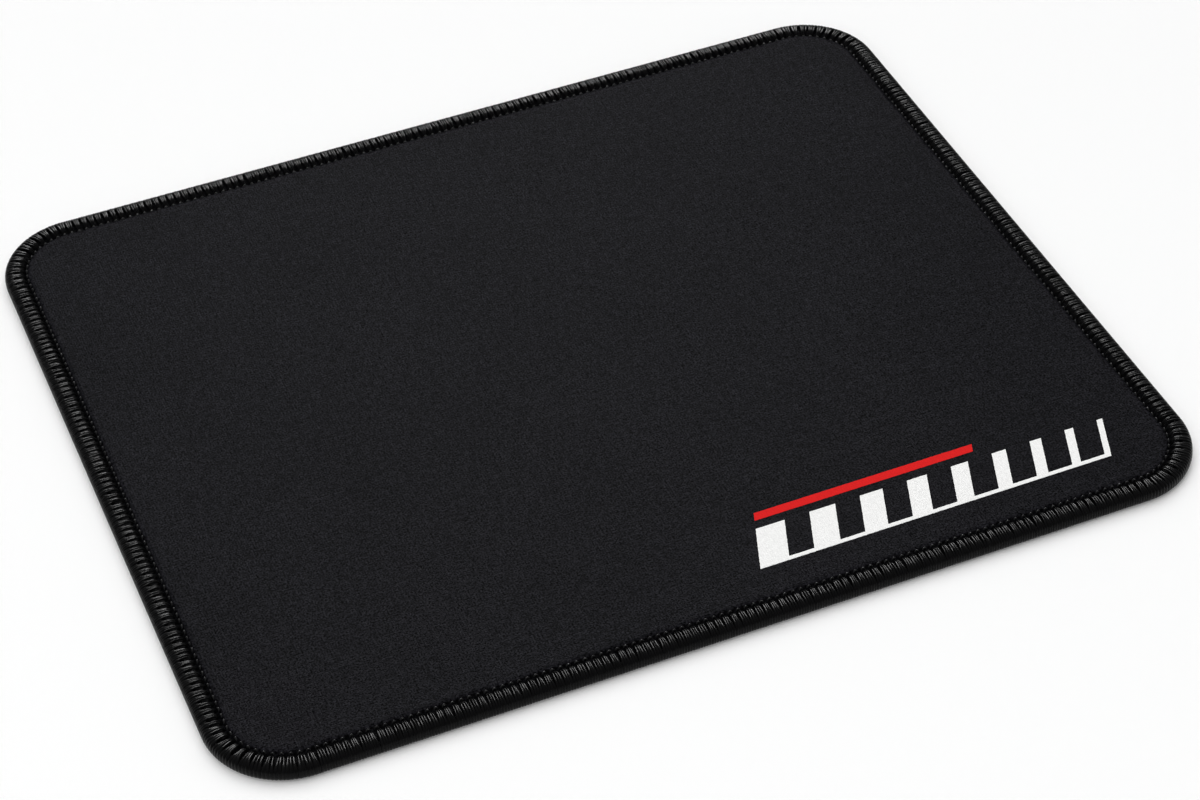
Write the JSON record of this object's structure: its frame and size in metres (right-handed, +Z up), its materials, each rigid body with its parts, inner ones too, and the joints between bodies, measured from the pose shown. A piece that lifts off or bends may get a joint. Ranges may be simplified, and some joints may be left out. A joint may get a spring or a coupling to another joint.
{
  "type": "mouse pad",
  "caption": "Flat rectangular cloth mouse pad with rounded corners, a foam rubber base and a raised overlocked edge, for a computer mouse to glide on.",
  "frame": {"origin": "middle of the underside, on the surface that the pad lies on", "axes": "+X along the long side to the user's right, +Y from the front edge to the back edge, +Z up out of the cloth face"},
  "size_m": [0.25, 0.21, 0.0046],
  "materials": {
    "rubber": "matte foam rubber with a fine anti-slip texture underneath",
    "film": "milky hot-melt adhesive film",
    "cloth": "fine woven polyester, matte",
    "thread": "bulked polyester thread with a soft sheen",
    "needle_thread": "spun polyester thread with a soft sheen",
    "white_ink": "matte screen ink over the weave",
    "red_ink": "matte screen ink over the weave"
  },
  "bodies": {
    "root": {"rubber_base": "rubber", "bonding_film": "film", "cloth_face": "cloth", "upper_looper_thread": "thread", "lower_looper_thread": "thread", "needle_thread": "needle_thread", "white_print": "white_ink", "red_print": "red_ink"}
  },
  "joints": []
}
